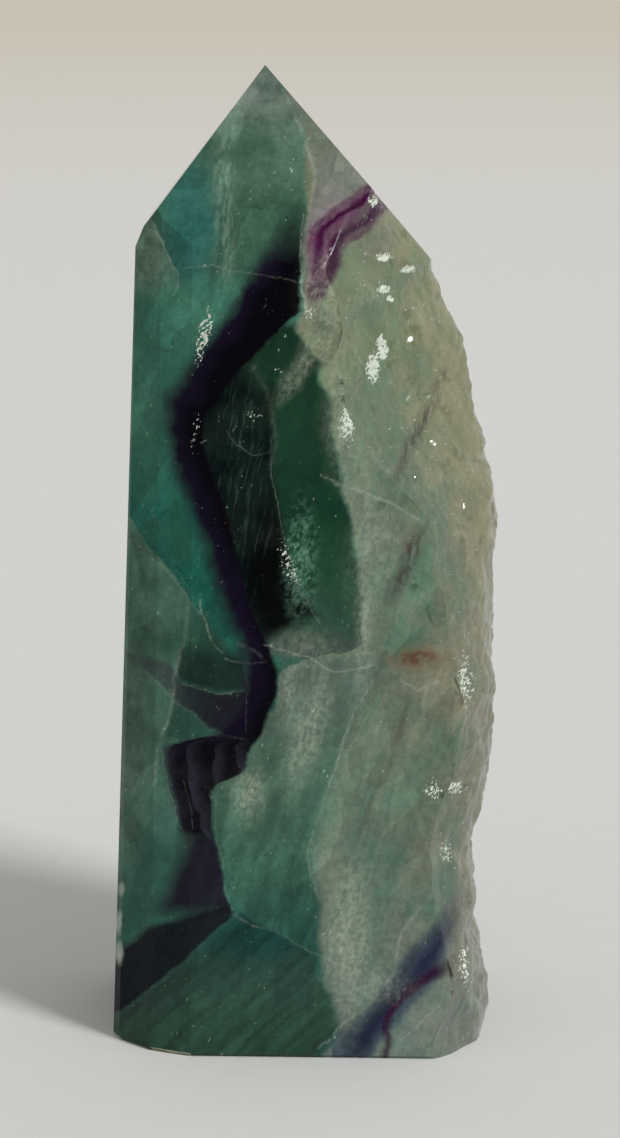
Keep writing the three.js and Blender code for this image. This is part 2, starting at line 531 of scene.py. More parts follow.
# The edges of the zones on the front face, as (height, X), and (X, height) for the level ones
BAND_RIGHT = [
    (104, 0.4), (99.6, -0.1), (95, -0.2), (92, -0.5), (87.8, -4.6), (84.3, -8), (81.5, -10.2),
    (79.8, -11.4), (77.7, -11.8), (75.3, -11.3), (70.4, -10), (65, -8.4), (57.1, -6.4),
    (52.2, -4.7), (49.5, -3.2), (46, -3.2), (44.8, -3.7), (41.1, -4.9), (38.4, -6.6), (36.2, -7.6),
    (35.2, -8.6), (34.6, -10), (33.4, -11.4), (30, -11.1), (26, -10.6),
]
BAND_LEFT = [
    (104, -2.6), (99.6, -4.8), (95, -6.8), (90.8, -9.9), (87.3, -12.7), (84.3, -14.8),
    (80.7, -16.4), (77.7, -16.8), (73.5, -15.8), (69.2, -14.2), (64.4, -12.4), (59.5, -10.7),
    (54.6, -9.2), (50.4, -7.7), (44.8, -7.8), (41.6, -9.6), (40.2, -11), (39.6, -16.9), (36, -16.6),
    (32, -15.9), (29.6, -15), (26, -14.4),
]
NAVY_RIGHT = [
    (90, -3), (87, -3.4), (83, -3.6), (79.4, -3.9), (76.5, -3.9), (66.8, -2.9), (60.1, -1.5), (54, 2.1),
    (50, 3),
]
MILK_EDGE = [
    (112, 0.5), (96, 0.2), (92, -0.2), (90, -1.2), (87.8, 0.6), (86, 2), (83.7, 1.8),
    (81.9, 2.7), (78.3, 3.3), (74.7, 4), (70.8, 4.6), (66.2, 5.7), (61.7, 6.5), (57.1, 7.1),
    (51.5, 6.9), (50.3, 1), (49, -3), (44.8, -3.4), (39.3, -6), (35.6, -8), (34.6, -10.8), (27, -10.2),
    (19, -8.2), (15.5, -3), (13, 1.2), (10, 1.8), (7, 3.4), (4, 4.2), (2, 3), (0, 1.2),
]
PALE_EDGE = [
    (50, 10), (48, 9), (44, 6.4), (40.5, 5.1), (34, 3), (27.5, 0.9), (25, 0.5), (20, 1.6),
    (12.4, 2), (9, 2.4), (6, 4), (3, 4.4), (0, 2),
]
WEDGE_TOP = [(-24, 51.6), (-21, 51), (-16, 49.6), (-14.4, 47.3), (-10, 46), (-6.4, 46.3)]
WEDGE_FOOT = [(-24, 51), (-19.6, 49.1), (-11.2, 41.1), (-6.4, 40)]
LOW_BAND_TOP = [(-26, 11.5), (-22.6, 13.7), (-18.6, 16.8), (-13.7, 18.7), (-8.9, 20)]
LOW_BAND_FOOT = [(-26, 2.8), (-22.7, 5.7), (-18.7, 9), (-13.8, 13), (-8.7, 17.8)]
RIM = [(-24, 70), (-21, 67.4), (-18.3, 63.8), (-15.9, 60.7), (-13.5, 57.1), (-11.7, 55.3), (-8, 50)]
COLUMN = [(62.5, -17.5), (57.1, -13.5), (51, -14.8), (44.8, -15.8), (39.9, -17.3), (34, -18)]
FOOT_INDIGO = [(3.5, -2), (6, 0.6), (8.4, 3.8), (10.4, 7), (13.3, 10.4), (16.5, 14), (18.6, 18), (23, 24)]
FOOT_PLUM = [(9.6, 3.6), (10.2, 5.6), (12.5, 8.6), (15.5, 11), (18, 12), (24, 15)]
FOOT_PLUM_TAIL = [(-1, 9.8), (2.2, 10.6), (4, 10), (6.4, 10.6)]
FOOT_BORDER = [
    (0, 1), (1, 2.1), (6.1, 7), (8.4, 9.4), (11.2, 11.3), (16.2, 11.9), (20, 14.9), (26.8, 15.5),
    (34, 17),
]
PLUM_OUTER = [
    (108, 9), (105.3, 6), (103.4, 2.6), (102.2, 1.1), (100, 0.5), (97.4, 0.5), (94, 0.4), (92, 0.4)]
PLUM_INNER = [
    (108, 12), (104.4, 10.4), (102.4, 8.6), (100.6, 7), (99.8, 5), (98, 4.6), (96.2, 3.9),
    (94, 2.6), (92, 1.4)]
PLUM_UPPER = [
    (108, 10.2), (106.4, 8.9), (104.4, 6.6), (103, 4.2), (102, 2.6), (100.4, 2), (97.6, 1.6),
    (94, 1.2)]
PLUM_LOWER = [
    (105.4, 10.4), (103.4, 8.4), (102, 6.4), (101, 4.6), (99.6, 3.9), (97.4, 3.7), (95.4, 2.6),
    (93, 1.4)]
PLUM_STRIPES = [(PLUM_UPPER, 0.5, 1.0, 0.4), (PLUM_LOWER, 0.8, 1.0, 0.5)]
CORNER_VEIL = [(108, -21), (104, -18.2), (99.1, -16.2), (96.2, -14.6), (94.8, -14.7), (93.1, -16.1)]
GREY_EDGE = [(118, -2.4), (112, 0.4), (108.5, 1.6), (105, 1.0), (102, 0.2), (96, 0.0)]

# The clear green crystal, and what is in it
GREENS_AT_LEFT = (
    (58, 16, 92, 78), (69, 18, 104, 90), (78, 68, 128, 108), (92, 72, 132, 112))
LEFT_SHADE = rgb(48, 112, 92)
GREENS_IN_VEIL = (
    (20, 58, 112, 98), (38, 88, 126, 110), (52, 76, 114, 98), (64, 82, 120, 100))
VEIL_PALE = rgb(112, 134, 118)
POCKET_GREEN = rgb(26, 72, 58)
GREENS_IN_CROWN = (
    (95, 58, 94, 80), (104, 74, 108, 90), (112, 94, 124, 104), (118, 120, 132, 124))
CROWN_SHADE = rgb(52, 84, 66)
CROWN_SMOKE = rgb(24, 44, 38)
CROWN_TEAL = rgb(34, 92, 88)
CROWN_PALE = rgb(124, 148, 130)
CROWN_GREYS = (
    (97, 118, 112, 106), (103, 134, 124, 128), (107, 124, 128, 120), (112, 110, 120, 106))
GREENS_IN_HEART = (
    (50.5, 78, 90, 84), (54, 54, 88, 71), (60, 36, 78, 56), (68, 10, 54, 34),
    (78, 24, 64, 44), (90, 18, 54, 36))
HEART_DARK = rgb(1, 14, 14)
NAVY = rgb(0, 1, 3)
SHIMMER = rgb(130, 180, 156)
MILK_POOL = rgb(46, 84, 70)
# The milky zones
MILK_GREYS = (
    (6, 112, 122, 114), (20, 118, 132, 116), (34, 112, 128, 110), (48, 118, 128, 110),
    (62, 112, 124, 109), (76, 116, 126, 107), (88, 124, 131, 105), (100, 128, 130, 110))
MILK_GREENS = (
    (10, 98, 124, 110), (40, 94, 124, 104), (62, 92, 123, 102),
    (78, 108, 134, 108), (90, 116, 138, 109))
SKIN_TANS = (
    (4, 122, 124, 116), (20, 122, 120, 104), (48, 132, 130, 110), (80, 146, 144, 114),
    (100, 146, 146, 116))
MILK_WHITE = rgb(180, 188, 168)
LOW_GREENS = (
    (14, 40, 84, 74), (26, 62, 98, 82), (38, 80, 108, 92), (50, 98, 116, 104))
FOOT_GREENS = ((0, 46, 78, 64), (10, 48, 80, 68), (18, 34, 76, 68))
FOOT_TEAL = rgb(6, 62, 60)
# The purple zones
BAND_BLACK = rgb(0, 0, 2)
BAND_PURPLE = rgb(18, 10, 32)
BAND_HAZE = rgb(20, 34, 44)
LOW_BAND = rgb(20, 18, 27)
TRIANGLE = rgb(30, 10, 36)
PLUM = rgb(60, 12, 54)
FOOT_PLUM_DARK = rgb(46, 14, 46)
MAUVE = rgb(90, 52, 80)
LAVENDER = rgb(62, 62, 70)
WEDGE_DARK = rgb(22, 18, 34)
WEDGE_SHADOW = rgb(12, 40, 32)
FINGER_LIGHT = rgb(42, 42, 52)
FINGER_DARK = rgb(8, 6, 12)
INDIGO = rgb(28, 30, 58)
SLATE = rgb(54, 68, 84)
HAIR = rgb(120, 156, 142)
RUST = rgb(126, 98, 74)
RUST_CORE = rgb(84, 52, 40)
DIRT = rgb(64, 54, 54)
# Near-white: the frost of cracks and dust, and the painted glints on chips, edges and skin
FROST_AND_GLINT = rgb(226, 234, 222)
CLOUDY = {"green": 0.74, "milk": 0.92, "heart": 0.82}

# Cracks that catch the light: (height, X) or (X, height) points, half width, brightness, softness
UPRIGHT_CRACKS = [
    ([(77, -4), (66.8, -2.9), (60.1, -1.5), (54, 2.1)], 0.03, 0.3, 0.12),
    ([(104, -0.1), (98, -0.2), (91.4, 0.2)], 0.06, 0.5, 0.2),
    ([(39.3, -17), (33.7, -16.3), (29.6, -15.1)], 0.03, 0.3, 0.16),
    ([(35.5, -14.5), (28.7, -13.1)], 0.03, 0.2, 0.16),
    ([(34, -11), (29, -10.6), (18.5, -8.5)], 0.03, 0.25, 0.16),
    (CORNER_VEIL[1:], 0.05, 0.35, 0.2),
    ([(57.5, -12.4), (54, -11.6), (51.9, -10.7), (50.4, -9.2)], 0.05, 0.35, 0.2),
    ([(49.7, -6.9), (45, -6.7), (41, -7)], 0.03, 0.25, 0.12),
    ([(86, -5.8), (80, -3.7), (76, -3.2), (73, -3.8)], 0.1, 0.16, 0.5),
    (PALE_EDGE[1:8], 0.05, 0.35, 0.3),
    (FOOT_BORDER[1:7], 0.12, 0.22, 0.4),
    (COLUMN, 0.1, 0.22, 0.35),
    (GREY_EDGE, 0.06, 0.25, 0.4),
    ([(74, 4.4), (66, 6), (58, 7.4), (52, 7.6)], 0.1, 0.2, 0.6),
    ([(47, 10.6), (40, 8.4), (33, 7)], 0.05, 0.14, 0.5),
]
LEVEL_CRACKS = [
    ([(-14.7, 97), (-10.3, 97.3), (-3.8, 95.9), (-0.3, 95.2)], 0.04, 0.22, 0.16),
    ([(2, 72.6), (6.9, 70.4), (10.5, 69.2), (14.6, 66.8)], 0.1, 0.3, 0.3),
    ([(-5.1, 51.6), (0.9, 50.4), (3.9, 48.5), (9, 49.6)], 0.05, 0.4, 0.2),
    ([(-8.9, 18.6), (-4, 16.2), (2.1, 13), (7, 11.4)], 0.05, 0.25, 0.2),
    ([(11.4, 1.7), (18.7, 9.3)], 0.06, 0.3, 0.25),
    ([(-9, 78), (-8, 76), (-6, 74.6), (-3.5, 75)], 0.05, 0.3, 0.16),
    ([(-14.6, 47.2), (-10, 45.9), (-7, 46.2)], 0.03, 0.3, 0.14),
    ([(-9.6, 50.4), (-8.1, 49.8), (-6, 49.5), (-3.9, 49.9)], 0.08, 0.35, 0.2),
    ([(-8.4, 52.2), (-6.6, 51.4), (-4.6, 50.2)], 0.12, 0.3, 0.25),
    (RIM[:6], 0.06, 0.22, 0.4),
    (WEDGE_FOOT[1:], 0.06, 0.16, 0.3),
    ([(12.4, 62), (15.4, 60.4), (18.5, 56.6)], 0.05, 0.25, 0.3),
    ([(7.6, 63.4), (10.4, 60), (13.6, 57.4)], 0.05, 0.18, 0.4),
    ([(12, 48), (14, 46.2), (16.8, 47.6)], 0.1, 0.22, 0.4),
]
# Clusters of chips, painted as near-white glints where they would catch the lamp. Like every patch
# below, each has the X and height of its middle, half its width and height, its brightness and
# softness and, where it leans, its lean in degrees
CHIP_GLINT_CLUSTERS = [
    (5.9, 79.6, 1.5, 3.4, 1.1, 0.8, 10), (9.2, 87.4, 0.7, 2.2, 1.0, 0.8, 20),
    (-11.6, 89.2, 0.6, 3.4, 1.0, 0.8, 12), (-12.8, 77.6, 0.5, 2.4, 0.6, 0.8, 8),
    (-1.6, 61, 0.9, 3.2, 0.8, 0.8, -24), (0.6, 91.6, 0.6, 1.2, 0.8, 0.8),
    (16, 34, 1.2, 1.4, 0.9, 0.8), (-5.6, 79.4, 0.8, 0.9, 0.6, 0.8), (-3.2, 85, 1.0, 0.5, 0.5, 0.8, 40),
]
# Painted highlights on the left arris: near-white patches where it would catch the lamp
EDGE_GLINTS = [
    (-22.3, 17.4, 0.35, 1.2, 0.5, 0.6), (-22.2, 13.6, 0.4, 1.3, 0.5, 0.6),
    (-22.2, 21.6, 0.3, 0.8, 0.4, 0.6),
]
# Where the crystal is frosted inside
FROSTED = [
    (0.6, 41, 1.6, 6, 0.5, 0.9, 16), (5.6, 15, 2.0, 8, 0.6, 0.9), (2.4, 93, 2.4, 4, 0.45, 0.9),
    (5, 80, 2.0, 6, 0.5, 0.9), (9, 62, 3, 6, 0.25, 0.9), (0.4, 86.2, 1.1, 5.2, 0.45, 0.8, 38),
    (2.2, 88.6, 1.8, 2.4, 0.4, 0.9), (0.4, 51.4, 3.2, 2.0, 0.25, 0.8), (7.4, 60, 0.9, 12, 0.4, 0.9),
    (8, 9.5, 4, 2, 0.4, 0.9), (9.2, 81.3, 2.6, 3, 0.15, 0.9), (-6.6, 33.4, 1.8, 2.6, 0.6, 0.9),
    (-1.8, 46, 1.2, 3.6, 0.35, 0.9),
]
# Single patches, each in one place of the crystal
VEIL_STREAK = (-20.8, 38, 1.8, 13, 0.4)
POCKET = (-12.6, 38, 4.6, 4.6, 0.8)
CROWN_TEAL_POOL = (-13.4, 102.5, 3.4, 8, 0.8, 0.7)
CROWN_SHADE_POOL = (-3.6, 101.5, 3.6, 5, 0.7, 0.8)
CROWN_SMOKE_POOL = (-1.4, 100.5, 1.6, 3.6, 0.7, 0.8)
CROWN_COLUMN = (-9.1, 105, 1.1, 9, 0.5, 0.7)
FOOT_POOL = (-6, 15.4, 6, 2.6, 0.75, 0.8)
HEART_CORNER = (-4.6, 86.2, 2.0, 3.4, 0.8, 0.6)
NAVY_POOL = (-3.6, 60, 3.4, 8, 1.0, 0.5)
HEART_THREADS = (-7, 72, 3.2, 12, 1.0, 0.5)
SHIMMERING = (-0.2, 62, 1.6, 5.4, 0.58, 0.9)
RUST_STAIN = (14, 50.2, 3.4, 1.2, 1.0, 0.8)
RUST_HEART = (13.8, 50.3, 2.2, 0.7, 0.7, 0.7)
# Dirty streaks in the milky stone
STREAKS = [
    (14, 78.5, 0.8, 6.6, 0.7, 0.7, 24), (13.2, 63.4, 1.3, 2.4, 0.8, 0.8, 20),
    (11.6, 60, 0.8, 3.4, 0.8, 0.8, 30),
    (11.4, 40.5, 0.5, 5, 0.45, 0.7, 16), (7.6, 30.5, 0.4, 5.4, 0.45, 0.7, 22),
]
# Clear green pools in the milky stone
MILK_POOLS = [
    (2.3, 90.9, 1.1, 1.5, 0.6, 0.7), (5.4, 75, 0.7, 5, 0.35, 0.8, 10), (11.6, 71, 2.6, 4, 0.25, 0.9, 20),
    (10.5, 52.6, 1.6, 3, 0.25, 0.9, 10), (12.6, 28, 2.4, 4, 0.2, 0.9, 16), (14, 74, 2, 3, 0.12, 0.9),
]


def green_zones(s):
    """The clear green crystal: the left, the veils below it, the crown and the foot."""
    soft = s.mottle.ramp(0.62, 0.36)
    colour = s.by_height(GREENS_AT_LEFT)
    colour = s.over(colour, LEFT_SHADE, soft * 0.6)
    if s.shows(20, 68):
        veils = s.over(s.by_height(GREENS_IN_VEIL), VEIL_PALE, s.patch(*VEIL_STREAK))
        pocket = s.past(COLUMN, 0.4, 0.8, 0.8) * s.z.within(40, 60, 0.8, 3)
        pocket = s.top([pocket, s.patch(*POCKET), soft * 0.5])
        veils = s.over(veils, POCKET_GREEN, pocket)
        colour = s.over(veils, colour, s.above(RIM, 0.6, 0.6))
    if s.shows(92, 120):
        crown = s.over(s.by_height(GREENS_IN_CROWN), CROWN_SHADE, soft * 0.7)
        crown = s.over(crown, CROWN_TEAL, s.patch(*CROWN_TEAL_POOL))
        crown = s.over(crown, CROWN_SHADE, s.patch(*CROWN_SHADE_POOL))
        crown = s.over(crown, CROWN_SMOKE, s.patch(*CROWN_SMOKE_POOL))
        column = s.patch(*CROWN_COLUMN) * s.hairs.ramp(0.4, 0.62, 0.1, 1.0)
        corner = (1 - s.past(CORNER_VEIL, 0.2, 0.3)) * s.z.within(93, 104, 0.5, 3)
        corner = corner * s.curdle.ramp(0.3, 0.6, 0.25, 0.6)
        crown = s.over(crown, CROWN_PALE, column.highest(corner))
        colour = s.over(colour, crown, s.z.ramp(92.5, 97.5))
    if s.shows(0, 20):
        foot = s.over(s.by_height(FOOT_GREENS), FOOT_TEAL, s.patch(*FOOT_POOL))
        foot = s.scaled(foot, s.streaks(1.15, 2.2, 24.0, 2.0).ramp(0.3, 0.7, 0.75, 1.25))
        colour = s.over(foot, colour, s.above(LOW_BAND_FOOT, 0.6, 0.6))
    return colour


def milky_zones(s, colour):
    """The milky crystal towards the skin, and where it begins."""
    milk = s.past(MILK_EDGE, 0.35, 0.6)
    streaks = s.streaks(0.36, 2.2, 14.0, 2.0)
    greener = (streaks + s.mottle).ramp(1.25, 0.7)
    milk_colour = s.over(s.by_height(MILK_GREYS), s.by_height(MILK_GREENS), greener)
    tan = (s.x / 14 + s.mottle * 1.4 + s.z.ramp(60, 100, 0.0, 0.25)).ramp(1.5, 2.3, 0.0, 0.85)
    milk_colour = s.over(milk_colour, s.by_height(SKIN_TANS), tan)
    pools = s.patches(MILK_POOLS)
    if pools:
        milk_colour = s.over(milk_colour, MILK_POOL, s.top(pools) * s.curdle.ramp(0.3, 0.6, 0.5, 1.0))
    if s.shows(0, 50):
        low_colour = s.scaled(s.by_height(LOW_GREENS), streaks.ramp(0.3, 0.7, 0.82, 1.2))
        low = s.past(PALE_EDGE, 0.4, 1.2) + s.z.ramp(49.5, 51)
        milk_colour = s.over(low_colour, milk_colour, low.lowest(1.0))
    return s.over(colour, milk_colour, milk), milk


def heart_zone(s, colour, milk):
    """The deep green heart between the dark band and the milk, black towards the band."""
    heart = s.past(BAND_RIGHT, 1.4, 0.0) * s.z.within(50.5, 90.5, 0.7, 0.8) * (1 - milk)
    deep = s.by_height(GREENS_IN_HEART)
    bottom = (s.z - s.x * 0.5 + s.mottle * 2).ramp(54.6, 56.6)
    shade = (1 - s.past(NAVY_RIGHT, 0.5, 0.7)) * bottom * s.mottle.ramp(0.7, 0.4, 0.8, 1.0)
    shade = shade * (1 - s.patch(*HEART_CORNER))
    deep = s.over(deep, HEART_DARK, shade)
    deep = s.over(deep, NAVY, s.patch(*NAVY_POOL) * shade)
    threads = s.hairs.ramp(0.5, 0.8, 0.0, 0.2) * s.patch(*HEART_THREADS)
    deep = s.over(deep, HAIR, threads)
    return s.over(colour, deep, heart), heart, heart * shade


def purple_band(s, colour):
    """The folded near-black band, and the wedge, fingers, triangle and low band that it sends out."""
    from_left = s.x - (s.bend(s.z_share, UP, BAND_LEFT, ACROSS) * ACROSS[1] + ACROSS[0])
    smoke = (s.mottle - 0.5) * 3.4 + (s.hairs - 0.5) * 0.6
    crisp = s.z.ramp(38, 44, 2.2, 1.0)
    band = (from_left * crisp + smoke * s.z.ramp(30, 80, 0.1, 1.0)).ramp(-1.3, 1.8)
    band = band * (1 - s.past(BAND_RIGHT, 0.3, 0.3))
    band_colour = s.over(BAND_HAZE, BAND_PURPLE, from_left.ramp(-0.3, 0.9))
    band_colour = s.over(band_colour, BAND_BLACK, (from_left + smoke).ramp(1.4, 4.4, 0.0, 0.88))
    if s.shows(26, 42):
        folds = from_left.math("FRACT", from_left / 2.9 + (s.mottle - 0.5) * 0.9)
        fingers = s.over(FINGER_LIGHT, FINGER_DARK, folds.ramp(0.0, 0.7) * s.curdle.ramp(0.3, 0.6, 0.6, 1.0))
        band_colour = s.over(band_colour, fingers, s.z.ramp(42.5, 36, 0.0, 0.9))
    if s.shows(95, 105):
        band = band * (s.z + smoke * 1.6).ramp(103.5, 97)
    if s.shows(0, 29):
        band = band * s.z.ramp(26.6, 28.8)
    dark = [band]
    purple = []
    if s.shows(0, 52):
        wedge = s.above(WEDGE_FOOT, 0.5, 0.8) * (1 - s.above(WEDGE_TOP, 0.6, 0.3))
        wedge = wedge * s.x.ramp(-5.5, -7.5) * s.x.ramp(-21, -9, 0.4, 0.97)
        triangle = s.slope(0.42, 61.5).ramp(-1.4, 2.0) * s.slope(-0.21, -22.9).ramp(0.25, -0.25)
        triangle = triangle * s.z.within(18.6, 28.4, 1.4, 0.9)
        low_band = s.above(LOW_BAND_FOOT, 0.3, 0.4) * (1 - s.above(LOW_BAND_TOP, 0.8, 0.6))
        low_band = low_band * s.x.ramp(-8.2, -9.2)
        shadow = s.above(WEDGE_TOP, 0.2, 0.6) * s.z.within(40, 51.2, 1.0, 1.6) * s.x.within(-15, -7, 0.4, 0.6)
        colour = s.over(colour, WEDGE_SHADOW, shadow * s.mottle.ramp(0.7, 0.4, 0.6, 0.95))
        colour = s.over(colour, s.over(LAVENDER, WEDGE_DARK, s.x.ramp(-19, -11)), wedge)
        colour = s.over(colour, TRIANGLE, triangle * 0.92)
        colour = s.over(colour, LOW_BAND, low_band * 0.95)
        dark += [triangle, low_band]
        purple = [wedge * 0.6]
    return s.over(colour, band_colour, dark[0]), dark, purple


def plum_sheets(s, colour, purple):
    """The plum ribbons under the crown and at the right foot."""
    if s.shows(92, 108):
        ground = s.past(PLUM_OUTER, 0.6, 0.5) * (1 - s.past(PLUM_INNER, 0.5, 0.6))
        here = s.z.within(93, 108, 1.0, 0.6)
        ground = ground * here
        colour = s.over(colour, MAUVE, ground * s.hairs.ramp(0.3, 0.6, 0.95, 0.75))
        colour = s.over(colour, PLUM, s.top(s.veins(PLUM_STRIPES)) * s.curdle.ramp(0.2, 0.5, 0.7, 1.0) * here)
        purple = [*purple, ground]
    if s.shows(0, 24):
        inside = s.x.ramp(20, 16)
        colour = s.over(colour, SLATE, s.seam(FOOT_INDIGO, 3.6, 0.85, 1.2) * inside)
        colour = s.over(colour, INDIGO, s.seam(FOOT_INDIGO, 1.6, 0.9, 1.6) * s.x.ramp(4, 8) * inside)
        core = s.top([s.seam(FOOT_PLUM, 0.7, 0.95, 0.6), s.vein(FOOT_PLUM_TAIL, 0.4, 0.9, 0.5)])
        colour = s.over(colour, FOOT_PLUM_DARK, core * inside)
    return colour, purple


def zones_of_crystal(s):
    """The growth zones: the colour of the crystal, how cloudy it is and where it is dark."""
    colour = green_zones(s)
    colour, milk = milky_zones(s, colour)
    pale = [milk]
    if s.shows(94, 120):
        grey = s.past(GREY_EDGE, 0.4, 0.9) * s.z.ramp(95, 101)
        colour = s.over(colour, s.by_height(CROWN_GREYS), grey * s.curdle.ramp(0.25, 0.6, 0.6, 1.0))
        pale += [grey, s.z.ramp(92, 98)]
    cloud = s.blend(CLOUDY["green"], CLOUDY["milk"], s.top(pale))
    black = []
    if s.shows(50, 90):
        colour, heart, shade = heart_zone(s, colour, milk)
        cloud = s.blend(cloud, CLOUDY["heart"], heart)
        black = [shade]
    colour, dark, purple = purple_band(s, colour)
    colour, purple = plum_sheets(s, colour, purple)
    dark = s.top(dark + black)
    return colour, s.top([cloud, dark, *purple]), dark


def marks_of_crystal(s, colour, dark):
    """The marks that show near the front: frost, cracks, dust and rust, a painted shimmer, and painted glints
    on chipped spots and the left arris.
    """
    light = 1 - dark * 0.85
    grit = s.streaks(0.45, 0.34, 0.8, 2.0)
    grain = s.noise(s.place, 0.7, 4.0, 0.7)
    colour = s.scaled(colour, (s.curdle + grain + s.hairs * 0.5).ramp(0.9, 1.6, 0.8, 1.2))
    colour = s.scaled(colour, s.planes(0.36, 3.6, 9.0).ramp(0.2, 0.8, 0.87, 1.13))
    frost = s.top(s.patches(FROSTED)) * (grit * 0.6 + grain + s.hairs * 0.4).ramp(0.82, 1.3, 0.25, 1.1)
    colour = s.over(colour, MILK_WHITE, frost * light)
    # Painted shimmer: a glittering patch of pale green light in the heart
    if s.shows(56, 68):
        glitter = (grit * 0.6 + grain + s.curdle * 0.6).ramp(0.95, 1.35)
        shimmer = s.patch(*SHIMMERING) * glitter
        colour = s.over(colour, SHIMMER, shimmer)
    if s.shows(26, 83):
        dirt = s.top(s.patches(STREAKS)) * (grain + s.hairs).ramp(0.8, 1.15, 0.2, 1.0)
        colour = s.over(colour, DIRT, dirt)
        rust = s.patch(*RUST_STAIN) * (s.curdle + grain).ramp(0.8, 1.2, 0.25, 0.8)
        colour = s.over(colour, RUST, rust)
        core = s.patch(*RUST_HEART) * (s.curdle + grain).ramp(0.9, 1.1, 0.2, 1.0)
        colour = s.over(colour, RUST_CORE, core)
    # Painted glints: near-white specks in the clusters of chips and on the left arris, laid in with the
    # frosty dust and cracks
    sparks = s.streaks(0.45, 0.24, 0.45, 2.0)
    glints_and_frost = (s.top(s.patches(CHIP_GLINT_CLUSTERS)) * 0.3 + sparks).ramp(0.76, 0.82)
    dust = grit.ramp(0.68, 0.76, 0.0, 0.6) * s.mottle.ramp(0.42, 0.6) * light
    cracks = s.top(s.veins(UPRIGHT_CRACKS) + s.seams(LEVEL_CRACKS)) * grit.ramp(0.3, 0.6, 0.15, 1.0)
    cracks = cracks * s.mottle.ramp(0.38, 0.62, 0.3, 1.0) * (1 - dark * 0.6)
    glints_and_frost = s.top([dust, cracks, glints_and_frost, *s.patches(EDGE_GLINTS)])
    return s.over(colour, FROST_AND_GLINT, glints_and_frost)


FLUORITE_IOR = 1.434
RELIEF_HEIGHT = 0.1 * MM
LAP_WAVES = {"across": 14.0, "depth": 0.05}
SKIN_PITS = {"across": 0.9, "depth": 1.0}
GLOW = {
    "Subsurface Radius": (1.0, 1.6, 1.3),
    "Subsurface Scale": 0.5 * MM,
}
CLEAR_TINT = rgb(236, 246, 240)
IN_DEPTH = {"Color": (0.22, 0.6, 0.48, 1.0), "Density": 70.0}  # per metre


def crystal(s, colour, cloud, relief, roughness, shine, glow):
    """The finish of the crystal: clear and cloudy stone mixed by zone, tinted in depth."""
    height = s.noise(s.place, relief["across"], 2.0, 0.6)
    normal = s.node("ShaderNodeBump", {}, {
        "Strength": relief["depth"], "Distance": RELIEF_HEIGHT, "Height": height})
    polish = {"IOR": FLUORITE_IOR, "Normal": normal, "Specular IOR Level": shine}
    cloudy = s.principled({
        **polish, **GLOW, "Base Color": colour, "Roughness": roughness, "Subsurface Weight": glow})
    clear = s.principled({
        **polish, "Base Color": s.over(colour, CLEAR_TINT, 0.6), "Roughness": 0.04,
        "Transmission Weight": 1.0})
    surface = s.node("ShaderNodeMixShader", {}, (cloud, clear, cloudy))
    return s.finished(surface, Volume=s.node("ShaderNodeVolumeAbsorption", {}, IN_DEPTH))


def polished_face(name, low, high, marked, shine):
    """A lapped flat: it shows the zones, and at the front the marks just under it."""
    s = Zones(name, low, high)
    s.lay_out()
    colour, cloud, dark = zones_of_crystal(s)
    if marked:
        colour = marks_of_crystal(s, colour, dark)
    return crystal(s, colour, cloud, LAP_WAVES, 0.06, shine, 0.0)


FRONT_SHINE = 0.06
SIDE_SHINE = 0.2
# Painted shade for the skin's crevices
SKIN_CREVICE_SHADE = rgb(78, 86, 62)
SKIN_HAZE = rgb(164, 168, 148)
# Where the skin catches light
SKIN_GLINTS = [
    (8.4, 104.8, 0.5, 0.6, 1.0, 0.6),
    (9.3, 98.5, 0.8, 0.6, 1.0, 0.6), (12.4, 96.9, 1.0, 0.6, 1.0, 0.6), (9.7, 94.5, 1.0, 0.5, 1.0, 0.6),
    (10.4, 93.4, 0.5, 0.4, 1.0, 0.6), (9.3, 87.7, 0.6, 1.7, 1.0, 0.6), (8.4, 85.2, 0.8, 1.7, 1.0, 0.6),
    (19.6, 47.6, 1.2, 3.4, 0.7, 0.8), (18.4, 34.3, 1.2, 1.0, 0.8, 0.8), (17.5, 26, 1.0, 1.6, 0.6, 0.8),
    (19.8, 12, 0.8, 3, 0.6, 0.8),
]


def broken_skin(name):
    """The natural skin: milky green under a thin olive and tan stain, with painted shade in blotches for its
    crevices and painted glints where it would catch light.
    """
    s = Zones(name, 0, TIP)
    s.lay_out()
    grit = s.streaks(0.45, 0.24, 0.45, 2.0)
    colour, _ = milky_zones(s, SKIN_HAZE)
    # Painted shade: darker blotches that stand for shade in the skin's crevices
    colour = s.over(colour, SKIN_CREVICE_SHADE, s.curdle.ramp(0.46, 0.32, 0.0, 0.45) * s.mottle.ramp(0.3, 0.6))
    colour = s.over(colour, SKIN_HAZE, (s.hairs + s.curdle).ramp(1.0, 1.5, 0.0, 0.5))
    colour, _ = plum_sheets(s, colour, [])
    colour = s.over(colour, DIRT, s.top(s.patches(STREAKS)) * s.hairs.ramp(0.3, 0.6))
    # Painted glints: near-white specks where the skin would catch the lamp, thickest in the listed patches
    glints = (s.top(s.patches(SKIN_GLINTS)) * 0.36 + grit).ramp(0.74, 0.8)
    colour = s.over(colour, FROST_AND_GLINT, glints.highest(grit.ramp(0.66, 0.74, 0.0, 0.5)))
    cloud = s.mottle.ramp(0.3, 0.7, 0.8, 0.94)
    return crystal(s, colour, cloud, SKIN_PITS, 0.12, 0.6, 1.0)


for finish in (
    polished_face("front_middle", HEIGHT_CUTS[0], HEIGHT_CUTS[1], True, FRONT_SHINE),
    broken_skin("natural_skin"),
    polished_face("polished_sides", 0, TIP, False, SIDE_SHINE),
    polished_face("front_foot", 0, HEIGHT_CUTS[0], True, FRONT_SHINE),
    polished_face("front_crown", HEIGHT_CUTS[1], TIP, True, FRONT_SHINE),
):
    stone.data.materials.append(finish)
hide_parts("fluorite_obelisk")
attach(stone, "root")


